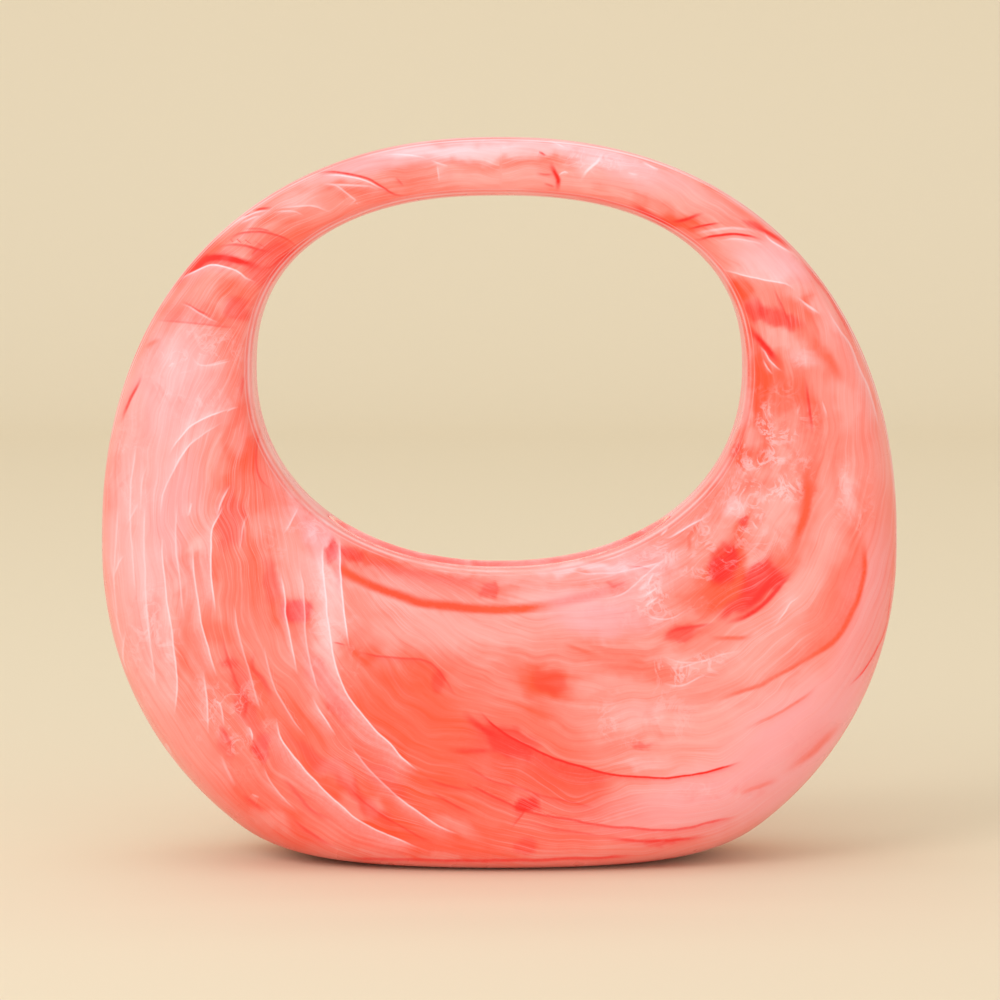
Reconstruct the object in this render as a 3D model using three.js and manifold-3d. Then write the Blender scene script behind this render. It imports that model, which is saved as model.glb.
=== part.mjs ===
// A rigid crescent handbag of marbled acrylic, in millimetres, +Z up, front face towards -Y.
// A closed ring that is thin at the top, where it is the handle, and deep at the bottom, where it is the bag.
// It is cast in two halves that meet on the plane y = 0. A slot in the floor of the hand hole is the mouth.
// The origin is on the ground, in the middle of the base.
import * as THREE from 'three';
import { ParametricGeometry } from 'three/addons/geometries/ParametricGeometry.js';
import { mergeVertices } from 'three/addons/utils/BufferGeometryUtils.js';
import Module from 'manifold-3d';

const wasm = await Module();
wasm.setup();

// Outer outline, seen from the front
const OVERALL_WIDTH = 240;
const OVERALL_HEIGHT = 218.3;
const WIDEST_LEVEL = 95.5; // height of the widest place
const LOWER_DROP = 109.8; // reach of the lower outline below the widest place, before the base flattens it
const UPPER_FULLNESS = 2.24; // 2 is an ellipse, and more is squarer
const LOWER_FULLNESS = 2.1;
const BASE_EASE = 11.5; // half the height over which the walls turn into the flat base

// Hand hole, seen from the front
const HOLE_WIDTH = 147;
const HOLE_LEVEL = 148.3; // height of its widest place
const HOLE_RISE = 52.5;
const HOLE_DROP = 59;
const HOLE_UPPER_FULLNESS = 2.37;
const HOLE_LOWER_FULLNESS = 2.16;

// Front to back
const HANDLE_DEPTH = 23; // across the top of the handle
const LIMB_DEPTH = 48; // across the two limbs, beside the hole
const BODY_DEPTH = 75; // across the bag, under the hole
const RIM_FULLNESS = 3.4; // squareness of the section next to the hole
const FLANK_FULLNESS = 2.5; // squareness of the section next to the outer outline

// Walls and hollow
const WALL = 4;
const HOLLOW_REACH = 112; // degrees round the hole from straight down to each end of the hollow
const HOLLOW_END_FULLNESS = 5;
const PARTING_GAP = 0.3; // between the two halves

// Mouth and its collar
const MOUTH_LENGTH = 104;
const MOUTH_WIDTH = 18;
const COLLAR_GAP = 0.3; // between the collar and the halves
const COLLAR_WALL = 1.8;
const COLLAR_HEIGHT = 16;
const BEAD_HEIGHT = 3; // of the thick lower edge
const BEAD_PROUD = 1.2; // how far the bead stands out past the collar's wall

// Fineness of the facets
const STEPS_ROUND_RING = 76;
const BOTTOM_FINENESS = 0.35; // how much closer than even the steps lie at the bottom
const STEPS_ROUND_SECTION = 26;
const STEPS_ALONG_HOLLOW = 44;
const STEPS_ROUND_HOLLOW = 20;
const STEPS_ROUND_HOLE = 72;
const STEPS_ROUND_MOUTH_END = 6;

// A point of a squared circle of unit size, at an angle
function squaredCircle(angle, power) {
  const share = (value) => Math.sign(value) * Math.abs(value) ** (2 / power);
  return [share(Math.cos(angle)), share(Math.sin(angle))];
}

// Radius of the hand hole at an angle round its centre, with its outline grown by an inset
function holeRadius(angle, inset) {
  const above = Math.sin(angle) >= 0;
  const power = above ? HOLE_UPPER_FULLNESS : HOLE_LOWER_FULLNESS;
  const across = Math.abs(Math.cos(angle)) / (HOLE_WIDTH / 2 + inset);
  const along = Math.abs(Math.sin(angle)) / ((above ? HOLE_RISE : HOLE_DROP) + inset);
  return (across ** power + along ** power) ** (-1 / power);
}

// Says whether a point of the front view is inside the outer outline, shrunk by an inset
function insideOutline(x, z, inset) {
  const above = z >= WIDEST_LEVEL;
  const power = above ? UPPER_FULLNESS : LOWER_FULLNESS;
  const reach = above ? OVERALL_HEIGHT - WIDEST_LEVEL : LOWER_DROP;
  const across = Math.abs(x) / (OVERALL_WIDTH / 2 - inset);
  const along = Math.abs(z - WIDEST_LEVEL) / (reach - inset);
  return across ** power + along ** power < 1;
}

// Distance from the hole's centre to the outer outline, found by halving
function outlineRadius(angle, inset) {
  let inner = 0;
  let outer = OVERALL_WIDTH + OVERALL_HEIGHT;
  for (let step = 0; step < 48; step += 1) {
    const middle = (inner + outer) / 2;
    const x = middle * Math.cos(angle);
    const z = HOLE_LEVEL + middle * Math.sin(angle);
    if (insideOutline(x, z, inset)) inner = middle;
    else outer = middle;
  }
  return inner;
}

// Half the depth of the ring at an angle round the hole: handle, limb and body in one smooth run
function halfDepth(angle) {
  const up = Math.sin(angle);
  const slope = (HANDLE_DEPTH - BODY_DEPTH) / 2;
  const bend = (HANDLE_DEPTH + BODY_DEPTH) / 2 - LIMB_DEPTH;
  return (LIMB_DEPTH + slope * up + bend * up * up) / 2;
}

// Lays the lowest part of a form flat on a level, with a smooth turn
function restOn(z, level) {
  const above = z - level;
  if (above <= -BASE_EASE) return level;
  if (above >= BASE_EASE) return z;
  return level + (above + BASE_EASE) ** 2 / (4 * BASE_EASE);
}

// A point of the ring's skin, or of a skin inset from it, with its section shrunk to a share of itself
function skinPoint(angle, turn, inset, share, target) {
  const near = holeRadius(angle, inset);
  const far = outlineRadius(angle, inset);
  const power = Math.cos(turn) > 0 ? RIM_FULLNESS : FLANK_FULLNESS;
  const [towardsHole, towardsBack] = squaredCircle(turn, power);
  const radius = (near + far) / 2 - share * towardsHole * (far - near) / 2;
  const y = share * towardsBack * (halfDepth(angle) - inset);
  const z = HOLE_LEVEL + radius * Math.sin(angle);
  target.set(radius * Math.cos(angle), y, restOn(z, inset));
}

// A solid made from a closed geometry
function solidOf(geometry) {
  geometry.deleteAttribute('normal');
  geometry.deleteAttribute('uv');
  const merged = mergeVertices(geometry, 1e-4);
  const corners = merged.index.array;
  const triangles = [];
  for (let i = 0; i < corners.length; i += 3) {
    const [a, b, c] = [corners[i], corners[i + 1], corners[i + 2]];
    if (a !== b && b !== c && c !== a) triangles.push(a, b, c);
  }
  const mesh = new wasm.Mesh({
    numProp: 3,
    vertProperties: new Float32Array(merged.attributes.position.array),
    triVerts: new Uint32Array(triangles),
  });
  mesh.merge();
  return new wasm.Manifold(mesh);
}

// The whole ring, as if it were solid
function ringSolid() {
  const skin = (u, v, target) => {
    const round = 2 * Math.PI * (u % 1);
    skinPoint(round - BOTTOM_FINENESS * Math.cos(round), 2 * Math.PI * (v % 1), 0, 1, target);
  };
  return solidOf(new ParametricGeometry(skin, STEPS_ROUND_RING, STEPS_ROUND_SECTION));
}

// The hollow: the ring inset by the wall, closed to a round end in each limb
function hollowSolid() {
  const reach = THREE.MathUtils.degToRad(HOLLOW_REACH);
  const skin = (u, v, target) => {
    const along = -Math.cos(Math.PI * u);
    const share = Math.max(0, 1 - Math.abs(along) ** HOLLOW_END_FULLNESS) ** (1 / HOLLOW_END_FULLNESS);
    skinPoint(-Math.PI / 2 + reach * along, 2 * Math.PI * (v % 1), WALL, share, target);
  };
  return solidOf(new ParametricGeometry(skin, STEPS_ALONG_HOLLOW, STEPS_ROUND_HOLLOW));
}

// The mouth's outline seen from above, drawn in by an inset: straight sides and round ends
function mouthShape(inset) {
  const radius = MOUTH_WIDTH / 2 - inset;
  const straight = (MOUTH_LENGTH - MOUTH_WIDTH) / 2;
  const shape = new THREE.Shape();
  shape.absarc(straight, 0, radius, -Math.PI / 2, Math.PI / 2, false);
  shape.absarc(-straight, 0, radius, Math.PI / 2, 3 * Math.PI / 2, false);
  shape.closePath();
  return shape;
}

// A straight plug through the mouth, from the middle of the hollow up into the hand hole
function mouthPlug(inset) {
  const holeFloor = HOLE_LEVEL - HOLE_DROP;
  const bottom = holeFloor / 2;
  const height = HOLE_LEVEL - bottom;
  const options = { depth: height, bevelEnabled: false, curveSegments: STEPS_ROUND_MOUTH_END };
  return solidOf(new THREE.ExtrudeGeometry(mouthShape(inset), options).translate(0, 0, bottom));
}

// The hand hole as a solid, lowered by a distance
function holeSolid(lowered) {
  const shape = new THREE.Shape();
  for (let step = 0; step < STEPS_ROUND_HOLE; step += 1) {
    const angle = 2 * Math.PI * step / STEPS_ROUND_HOLE;
    const radius = holeRadius(angle, 0);
    const x = radius * Math.cos(angle);
    const z = HOLE_LEVEL - lowered + radius * Math.sin(angle);
    if (step === 0) shape.moveTo(x, z);
    else shape.lineTo(x, z);
  }
  shape.closePath();
  const options = { depth: BODY_DEPTH, bevelEnabled: false };
  const geometry = new THREE.ExtrudeGeometry(shape, options);
  geometry.rotateX(Math.PI / 2).translate(0, BODY_DEPTH / 2, 0);
  return solidOf(geometry);
}

// A block that holds everything on one side of the mid-plane, half the parting gap away from it
function halfBlock(side) {
  const depth = BODY_DEPTH;
  const geometry = new THREE.BoxGeometry(2 * OVERALL_WIDTH, depth, 4 * OVERALL_HEIGHT);
  return solidOf(geometry.translate(0, side * (depth / 2 + PARTING_GAP / 2), 0));
}

// Material of the cast acrylic
function acrylic(colour) {
  return new THREE.MeshStandardMaterial({ color: colour, roughness: 0.12, metalness: 0 });
}

// A named mesh of a solid
function piece(name, solid, material) {
  const { vertProperties, triVerts } = solid.getMesh();
  const geometry = new THREE.BufferGeometry();
  geometry.setAttribute('position', new THREE.BufferAttribute(new Float32Array(vertProperties), 3));
  geometry.setIndex(new THREE.BufferAttribute(new Uint32Array(triVerts), 1));
  geometry.computeVertexNormals();
  const mesh = new THREE.Mesh(geometry, material);
  mesh.name = name;
  return mesh;
}

// The two cast halves
function shells() {
  const cast = ringSolid().subtract(hollowSolid()).subtract(mouthPlug(0));
  return [
    piece('front_shell', cast.intersect(halfBlock(-1)), acrylic(0xf96f66)),
    piece('back_shell', cast.intersect(halfBlock(1)), acrylic(0xf57a70)),
  ];
}

// The frame that lines the mouth, with a bead along its lower edge, following the floor of the hole
function mouthCollar() {
  const opening = mouthPlug(COLLAR_GAP + COLLAR_WALL);
  const lining = mouthPlug(COLLAR_GAP).intersect(holeSolid(COLLAR_HEIGHT)).subtract(holeSolid(0));
  const bead = mouthPlug(COLLAR_GAP - BEAD_PROUD)
    .intersect(holeSolid(COLLAR_HEIGHT))
    .subtract(holeSolid(COLLAR_HEIGHT - BEAD_HEIGHT));
  return piece('mouth_collar', lining.add(bead).subtract(opening), acrylic(0xe9483c));
}

const handbag = new THREE.Group();
handbag.add(...shells(), mouthCollar());

export default handbag;
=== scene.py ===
# Looks of the marbled acrylic crescent handbag: fine shells, the mouth's collar, materials, light and camera.
# Metres, +Z up, front face towards -Y. The origin is on the floor, in the middle of the base.
import math

import bmesh
import bpy
import numpy as np
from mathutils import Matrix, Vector


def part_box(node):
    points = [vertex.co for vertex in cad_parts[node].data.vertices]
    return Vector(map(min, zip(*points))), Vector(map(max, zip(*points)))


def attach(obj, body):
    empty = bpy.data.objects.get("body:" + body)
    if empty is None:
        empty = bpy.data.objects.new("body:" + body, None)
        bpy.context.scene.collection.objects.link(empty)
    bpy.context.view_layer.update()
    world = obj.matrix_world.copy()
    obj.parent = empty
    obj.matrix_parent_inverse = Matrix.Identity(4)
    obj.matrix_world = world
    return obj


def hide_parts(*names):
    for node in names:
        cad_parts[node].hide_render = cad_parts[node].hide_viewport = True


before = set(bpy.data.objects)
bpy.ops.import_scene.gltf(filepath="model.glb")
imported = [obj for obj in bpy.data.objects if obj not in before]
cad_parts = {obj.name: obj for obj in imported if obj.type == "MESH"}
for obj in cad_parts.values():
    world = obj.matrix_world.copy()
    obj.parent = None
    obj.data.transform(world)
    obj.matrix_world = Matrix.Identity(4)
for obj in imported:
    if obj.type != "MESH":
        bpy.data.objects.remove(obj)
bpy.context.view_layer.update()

# The marbling is a chart of strokes and clouds, drawn in the photograph's frame of 1000 by 1000.
# Places, widths and sizes in the two charts are pixels of that frame: one is 0.301 mm at the bag.

# Crisp strokes of each tone: strength, half width, tail, and route as places across and down in turn.
# The tail is left of a stroke drawn downwards, below one drawn to the right, above one drawn to the left.
STROKES = {
    "white": (
        # left limb, from the handle down
        (0.81, 0.6, 4, (175, 284, 185, 277, 205, 267, 215, 265, 235, 270, 245, 277, 258, 283)),
        (0.45, 0.7, 3, (178, 303, 190, 307, 200, 313, 210, 319, 222, 324)),
        (0.45, 0.5, 3, (205, 367, 215, 365, 232, 360)),
        (0.45, 0.5, 3, (168, 368, 172, 364, 176, 361)),
        (0.45, 0.5, 3, (239, 407, 232, 409, 225, 413)),
        (0.81, 0.7, 12, (235, 408, 210, 415, 192, 425, 185, 432, 175, 445, 168, 458)),
        (0.63, 0.6, 6, (200, 432, 190, 445, 178, 462, 170, 480)),
        (0.45, 0.6, 10, (225, 420, 195, 440, 180, 460, 165, 490, 160, 520)),
        (0.36, 0.5, 8, (150, 460, 143, 480, 140, 520)),
        (0.54, 0.5, 4, (193, 500, 190, 510, 188, 520)),
        (0.63, 0.6, 4, (232, 483, 222, 500, 215, 520)),
        # left of the body
        (0.72, 0.6, 14, (162, 532, 163, 562, 167, 600, 173, 643, 177, 680, 176, 700, 173, 718)),
        (0.68, 0.6, 10, (193, 542, 195, 580, 201, 620, 208, 647, 218, 680)),
        (0.85, 0.7, 14, (225, 503, 213, 527, 212, 545, 211, 563, 212, 580, 216, 617)),
        (0.36, 0.6, 2, (250, 510, 243, 525, 238, 555)),
        (0.63, 0.5, 6, (300, 503, 293, 518, 283, 535)),
        (0.68, 0.5, 5, (280, 567, 286, 600, 285, 613, 292, 647, 297, 678)),
        (0.72, 0.6, 5, (311, 695, 318, 708, 335, 733, 337, 738)),
        (0.85, 0.7, 18, (322, 538, 323, 570, 326, 593, 328, 620, 334, 660, 345, 690, 360, 712, 372, 726,
            392, 746, 402, 758, 422, 773)),
        (0.9, 0.7, 8, (338, 533, 340, 567, 342, 593, 345, 617, 349, 650)),
        (0.63, 0.5, 5, (203, 667, 205, 688, 207, 702, 209, 738)),
        (0.54, 0.5, 3, (208, 700, 220, 703, 225, 730)),
        (0.72, 0.6, 3, (247, 725, 252, 733, 252, 743)),
        (0.45, 0.6, 6, (126, 552, 118, 565, 113, 580)),
        (0.54, 0.6, 6, (127, 627, 123, 650, 128, 677)),
        (0.45, 0.6, 4, (165, 740, 169, 748, 173, 755)),
        (0.36, 0.9, 6, (140, 500, 132, 515, 125, 525)),
        # lower left
        (0.85, 0.7, 12, (276, 716, 280, 736, 290, 752, 300, 764, 324, 790, 348, 812, 362, 822, 380, 832,
            400, 840, 420, 848)),
        (0.77, 0.7, 6, (392, 792, 412, 808, 440, 826, 462, 835)),
        (0.45, 0.6, 8, (262, 760, 268, 778, 280, 794, 300, 814)),
        (0.36, 1.2, 10, (220, 752, 228, 772, 238, 790)),
        (0.45, 0.5, 3, (250, 793, 255, 796, 260, 798)),
        # under the hole and right of the middle
        # this one, along the hole's lower rim, is a painted highlight
        (0.45, 0.5, 3, (350, 530, 380, 544, 404, 552, 432, 558, 460, 561, 504, 564)),
        (0.72, 0.7, 3, (669, 526, 664, 531, 659, 536)),
        (0.81, 0.5, 3, (712, 514, 692, 525, 680, 532, 670, 537, 660, 537)),
        (0.45, 0.9, 5, (600, 562, 619, 555, 632, 549)),
        (0.54, 1.8, 4, (637, 591, 644, 586, 650, 581)),
        (0.54, 0.7, 3, (655, 571, 650, 580, 646, 588)),
        (0.54, 0.7, 3, (660, 585, 650, 592, 641, 598)),
        (0.54, 0.7, 3, (659, 595, 650, 602, 642, 608)),
        (0.54, 0.6, 8, (803, 592, 797, 598, 790, 603, 786, 610, 780, 618, 772, 629)),
        (0.45, 0.6, 2, (675, 669, 688, 666, 700, 662)),
        (0.45, 0.6, 2, (660, 682, 677, 686, 687, 684, 704, 675, 712, 672)),
        (0.45, 0.7, 3, (752, 520, 755, 526, 759, 530)),
        # right limb
        (0.81, 0.6, 10, (798, 293, 793, 288, 785, 284, 775, 282, 760, 279, 745, 276, 718, 269)),
        (0.54, 0.7, 2, (795, 295, 805, 303, 815, 310, 822, 316)),
        (0.54, 0.6, 2, (800, 300, 812, 309, 820, 314)),
        (0.5, 0.6, 6, (826, 305, 832, 318, 840, 332, 848, 342, 853, 352, 858, 366, 864, 380, 870, 396,
            876, 414, 881, 432)),
        (0.63, 0.7, 2, (758, 345, 765, 352, 770, 360, 778, 368, 785, 372)),
        (0.54, 0.6, 2, (763, 358, 768, 368, 774, 375)),
        (0.81, 0.7, 3, (763, 230, 768, 238, 775, 244, 785, 250, 796, 256)),
        (0.36, 0.6, 3, (822, 400, 825, 408, 828, 418)),
        (0.45, 0.6, 3, (715, 242, 735, 239, 755, 242, 768, 247)),
        (0.45, 1.1, 2, (690, 234, 705, 232, 720, 229.5, 735, 228, 750, 230, 762, 235)),
        # handle
        (0.81, 0.7, 5, (318, 177, 330, 175, 345, 176, 360, 179, 370, 183, 380, 188, 390, 192)),
        (0.54, 0.9, 3, (320, 184, 340, 185, 355, 185.5, 370, 187, 382, 191)),
        (0.45, 0.5, 2, (322, 183, 335, 185, 343, 190, 350, 196, 355, 200, 348, 205, 343, 203)),
        (0.81, 0.6, 3, (228, 229, 240, 220, 252, 214, 262, 211, 273, 209.5)),
        (0.63, 0.5, 3, (238, 225, 250, 219, 262, 215)),
        (0.54, 0.6, 8, (333, 213, 322, 209, 310, 206, 290, 207, 273, 209)),
        (0.45, 0.5, 3, (270, 213, 285, 211, 297, 212, 305, 217)),
        # the next three run along the handle's top edge: painted highlights
        (0.72, 0.7, 5, (378, 158, 390, 155.5, 405, 155, 420, 157, 432, 160)),
        (0.45, 0.6, 6, (440, 142, 470, 140.5, 500, 141.5, 522, 145)),
        (0.9, 0.7, 1.5, (548, 140, 558, 143.5, 567, 147.5)),
        (0.54, 0.5, 2, (430, 160, 442, 164, 450, 166)),
        (0.45, 0.6, 8, (440, 184, 438, 172, 437, 162)),
        (0.72, 0.6, 2, (558, 176, 562, 172.5, 566, 171.5, 569, 175)),
        (0.9, 1.2, 5, (601, 149, 601.5, 155, 598, 161, 592, 166, 586, 172, 581, 180)),
        (0.72, 0.9, 3, (640, 161, 648, 164, 655, 168, 661, 171)),
        (0.45, 0.6, 3, (625, 171, 632, 173, 640, 174)),
        (0.41, 0.6, 5, (190, 352, 196, 362, 206, 366, 222, 361, 232, 357)),
        (0.45, 0.6, 6, (138, 440, 132, 480, 130, 520, 133, 560, 136, 600)),
        (0.36, 0.6, 5, (118, 500, 116, 540, 114, 580, 118, 620, 126, 650)),
        (0.45, 0.6, 6, (146, 500, 144, 540, 146, 590, 150, 640, 156, 690)),
        (0.45, 0.6, 4, (178, 500, 176, 540, 180, 580, 184, 620)),
        (0.36, 0.6, 4, (232, 600, 240, 640, 252, 680, 262, 715)),
        (0.36, 0.6, 4, (262, 640, 272, 680, 290, 715, 308, 740)),
        (0.45, 0.6, 8, (300, 560, 304, 600, 306, 640, 314, 680, 324, 700)),
        (0.41, 0.6, 6, (345, 740, 368, 768, 392, 792, 420, 815)),
        (0.41, 0.6, 3, (560, 570, 590, 574, 620, 572, 650, 565, 675, 556)),
        (0.41, 0.6, 4, (600, 600, 622, 594, 640, 580, 660, 562, 672, 552)),
        (0.41, 0.6, 4, (640, 612, 655, 618, 672, 618, 690, 608)),
        (0.36, 0.6, 3, (660, 655, 680, 662, 700, 662, 722, 654, 745, 650)),
    ),
    "red": (
        # dark red lines of the left limb and the handle
        (1.0, 3.0, 5, (158, 302, 180, 279, 190, 270, 200, 262, 210, 258, 225, 257.5, 240, 261, 250, 264,
            262, 270, 268, 276)),
        (0.8, 3.0, 3, (183, 274, 195, 260, 205, 249, 215, 239, 222, 233)),
        (0.6, 1.2, 3, (212, 247, 225, 245, 240, 245, 250, 247, 260, 250, 270, 252, 280, 253)),
        (0.5, 1.2, 2, (250, 258, 255, 251, 262, 249)),
        (0.5, 1.0, 2, (240, 230, 255, 229, 268, 231, 276, 236)),
        (0.8, 1.0, 2, (250, 212, 262, 208.5, 272, 207)),
        (0.7, 0.8, 2, (240, 217, 258, 212)),
        (0.7, 1.0, 2, (310, 174.5, 330, 172, 345, 173.5, 362, 177, 372, 181, 385, 189, 395, 194.5,
            412, 198)),
        (0.5, 1.0, 3, (180, 300, 200, 311, 215, 318)),
        (0.5, 1.5, 3, (165, 300, 158, 312, 152, 322)),
        (0.75, 1.4, 3, (143, 370, 140, 380, 130, 400, 120, 427)),
        (0.4, 1.5, 3, (243, 372, 242, 398)),
        (0.9, 2.2, 3, (549, 160, 552, 167, 555, 173, 558, 180, 558, 187, 556.5, 194)),
        (0.5, 1.0, 2, (535, 172, 545, 174, 555, 174)),
        (0.5, 1.0, 2, (543, 182, 550, 185, 556, 188)),
        (0.7, 1.0, 2, (538, 152, 543, 154, 548, 157)),
        (0.4, 1.0, 3, (396, 177, 400, 181, 405, 188)),
        # dark red lines of the left of the body
        (0.5, 1.5, 4, (220, 630, 230, 665, 245, 700)),
        (0.5, 2.0, 4, (255, 647, 252, 667, 262, 677, 270, 692, 277, 705)),
        (0.5, 2.0, 4, (240, 690, 247, 700, 243, 723)),
        (0.5, 2.0, 4, (220, 723, 233, 750)),
        (0.6, 0.8, 1.5, (331, 642, 347, 645)),
        (0.5, 1.5, 4, (280, 772, 296, 792, 312, 810, 336, 822)),
        (0.5, 1.5, 4, (240, 792, 266, 814)),
        (0.5, 1.5, 4, (290, 810, 300, 826, 340, 850)),
        (0.45, 1.0, 2, (340, 778, 360, 798, 380, 814, 400, 826, 440, 846)),
        (0.45, 1.2, 3, (422, 774, 440, 784, 480, 792)),
        (0.45, 1.2, 3, (426, 788, 446, 800, 480, 818)),
        (0.6, 1.5, 3, (340, 857, 420, 860, 520, 860, 600, 858, 640, 856)),
        # the collar's lower edge seen through the wall: a painted shade band
        (0.15, 4.6, 1.0, (340, 568, 360, 580.5, 380, 589, 400, 596, 420, 602.7, 440, 605.5, 460, 607.5,
            480, 609, 500, 609.4)),
        (0.3, 4.6, 1.0, (530, 607.7, 540, 606.5, 560, 603, 580, 598, 600, 593, 630, 584)),
        (0.25, 5.0, 8, (345, 548, 370, 560, 400, 570, 440, 578, 480, 583, 505, 585)),
        (0.35, 1.0, 14, (245, 330, 222, 327, 200, 324, 172, 321, 150, 320)),
        (0.6, 1.0, 3, (222, 240, 240, 234, 258, 232, 276, 235, 292, 243, 302, 252)),
        (0.5, 0.8, 3, (258, 262, 268, 268, 276, 262, 290, 252, 304, 246)),
        (0.5, 0.8, 2, (215, 225, 232, 214, 250, 208, 262, 206)),
        (0.5, 0.8, 3, (262, 420, 258, 440, 256, 462, 262, 480, 276, 492)),
        (0.5, 1.0, 4, (352, 650, 380, 656, 420, 660, 436, 668, 448, 684, 458, 700)),
        # lower middle
        (0.95, 1.0, 26, (478, 708, 486, 718, 500, 730, 520, 742, 540, 752, 560, 760, 580, 766, 600, 771,
            620, 774.6)),
        (0.9, 1.0, 3, (580, 766, 600, 771, 620, 774.6, 640, 776.4, 660, 777.4, 680, 776.6, 700, 774,
            745, 761)),
        (0.6, 1.2, 6, (460, 780, 480, 790, 500, 800, 520, 809, 560, 818, 600, 825, 640, 828.4, 660, 829.6,
            680, 828.6, 700, 825, 740, 816)),
        (0.5, 1.0, 3, (526, 800, 524, 812, 510, 830)),
        (0.6, 1.5, 4, (600, 837, 640, 841, 680, 839, 712, 835)),
        (0.35, 1.0, 4, (460, 760, 490, 780, 520, 788, 560, 800, 600, 809)),
        (0.35, 1.0, 4, (520, 820, 560, 830, 610, 836)),
        (0.7, 3.0, 5, (462, 710, 476, 724, 492, 734, 504, 742)),
        (0.5, 2.5, 4, (444, 750, 474, 751, 504, 750)),
        # right of the middle
        (0.4, 0.8, 2, (625, 567, 641, 567, 654, 570)),
        (0.6, 1.5, 4, (662, 643, 670, 632, 690, 628, 720, 623)),
        (0.9, 2.0, 6, (795, 566, 786, 578, 775, 592, 762, 606, 750, 614, 737, 620, 721, 624)),
        (0.9, 4.0, 4, (778, 562, 774, 576, 764, 590, 756, 600, 745, 609, 733, 616)),
        (0.7, 0.8, 1.5, (893, 580, 891, 600, 888, 618, 882, 638, 875, 652, 868, 664, 862, 673, 855, 681,
            846, 690)),
        # right limb
        (0.7, 1.2, 4, (805, 375, 808, 390, 810, 405, 811.5, 420, 813, 437)),
        (0.9, 3.0, 4, (745, 325, 755, 335, 762, 343, 770, 352, 778, 362, 783, 369)),
        (0.5, 1.0, 2, (770, 285, 778, 297, 785, 312, 792, 328, 796, 336)),
        (0.85, 1.6, 2, (667, 221, 680, 221, 690, 219, 697, 216, 706, 213)),
        (0.8, 1.0, 2, (683, 230, 695, 228, 705, 226, 715, 224, 724, 223)),
        (0.95, 1.2, 2, (688, 240, 700, 239.5, 710, 237, 720, 235.5, 735, 234, 745, 235, 755, 237, 768, 243)),
        (0.9, 2.0, 3, (748, 222, 760, 228, 775, 237, 785, 245, 795, 254)),
        (0.7, 1.5, 2, (795, 254, 805, 265, 815, 277, 826, 292, 836, 308, 846, 327, 856, 347)),
        (0.7, 3.0, 5, (625, 203, 640, 210, 655, 218, 668, 225, 680, 231)),
    ),
    "orange": (
        # the collar's lower edge seen through the wall: a painted shade band
        (0.9, 4.6, 1.0, (316, 549, 340, 568, 360, 580.5, 380, 589, 400, 596, 420, 602.7, 440, 605.5,
            460, 607.5, 480, 609, 500, 609.4, 520, 608.7, 540, 606.5, 566, 601.5)),
        # orange bands
        (0.8, 2.5, 20, (863, 530, 864, 565, 862, 585, 858, 600, 852, 612, 845, 626, 838, 636, 828, 646,
            815, 654, 800, 663)),
        (0.6, 2.0, 8, (838, 636, 828, 646, 815, 654, 800, 663, 785, 671, 770, 679, 755, 688, 712, 702)),
        (0.6, 2.0, 4, (705, 638, 730, 638, 745, 637, 752, 633, 757, 628)),
        (0.5, 1.5, 3, (742, 729, 752, 727, 762, 721, 775, 715, 790, 706, 803, 698, 821, 684)),
        (0.5, 3.0, 12, (845, 715, 835, 730, 815, 750, 795, 765, 780, 775)),
        (0.4, 2.0, 6, (783, 776, 770, 783, 750, 790, 735, 797)),
        (0.85, 4.0, 8, (787, 562, 794, 548, 800, 530, 806, 510, 808, 490, 806, 470, 806, 455)),
        (0.5, 2.0, 5, (690, 535, 689, 545, 688, 554)),
        (0.5, 2.0, 6, (560, 642, 580, 650, 600, 656)),
        (0.6, 4.0, 8, (820, 340, 830, 360, 840, 378, 848, 385)),
        (0.5, 5.0, 10, (775, 350, 780, 370, 783, 385, 785, 400)),
        (0.4, 2.0, 5, (145, 350, 150, 345, 163, 338)),
        (0.7, 2.5, 4, (690, 178, 700, 182, 715, 189, 730, 196, 742, 204)),
        (0.5, 2.0, 6, (896, 470, 897, 520, 895, 560, 890, 600)),
    ),
}

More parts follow.
